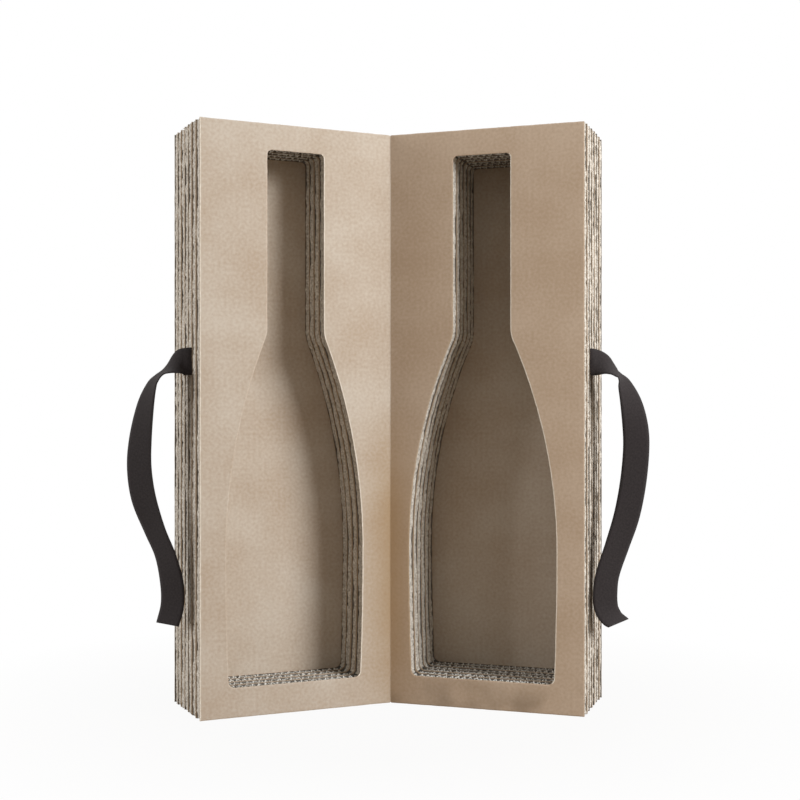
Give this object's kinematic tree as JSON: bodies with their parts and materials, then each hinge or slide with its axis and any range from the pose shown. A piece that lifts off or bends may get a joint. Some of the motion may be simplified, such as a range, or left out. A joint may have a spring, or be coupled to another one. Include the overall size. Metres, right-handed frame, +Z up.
{
  "type": "magnum bottle box",
  "caption": "Upright bottle box of stacked corrugated sheets that opens like a book on a spine fold, with facing bottle-shaped hollows and a tie ribbon on each outer side.",
  "frame": {"origin": "centre of the opened box's footprint, on the surface that it stands on", "axes": "+Z up along the spine fold, -Y towards the viewer that the box opens to, +X to the right half"},
  "size_m": [0.3892, 0.118, 0.43],
  "materials": {
    "board": "matte",
    "ribbon": "matte"
  },
  "bodies": {
    "left_half": {"left_face_sheet": "board", "left_sheet_2": "board", "left_sheet_3": "board", "left_sheet_4": "board", "left_sheet_5": "board", "left_sheet_6": "board", "left_back_sheet": "board", "left_ribbon": "ribbon"},
    "right_half": {"right_face_sheet": "board", "right_sheet_2": "board", "right_sheet_3": "board", "right_sheet_4": "board", "right_sheet_5": "board", "right_sheet_6": "board", "right_back_sheet": "board", "right_ribbon": "ribbon"}
  },
  "joints": [
    {"name": "spine_fold", "type": "hinge", "parent": "left_half", "child": "right_half", "pos_m": [0, -0.00502, 0.215], "axis": [0, 0, 1], "range_deg": [-137, 43]}
  ]
}
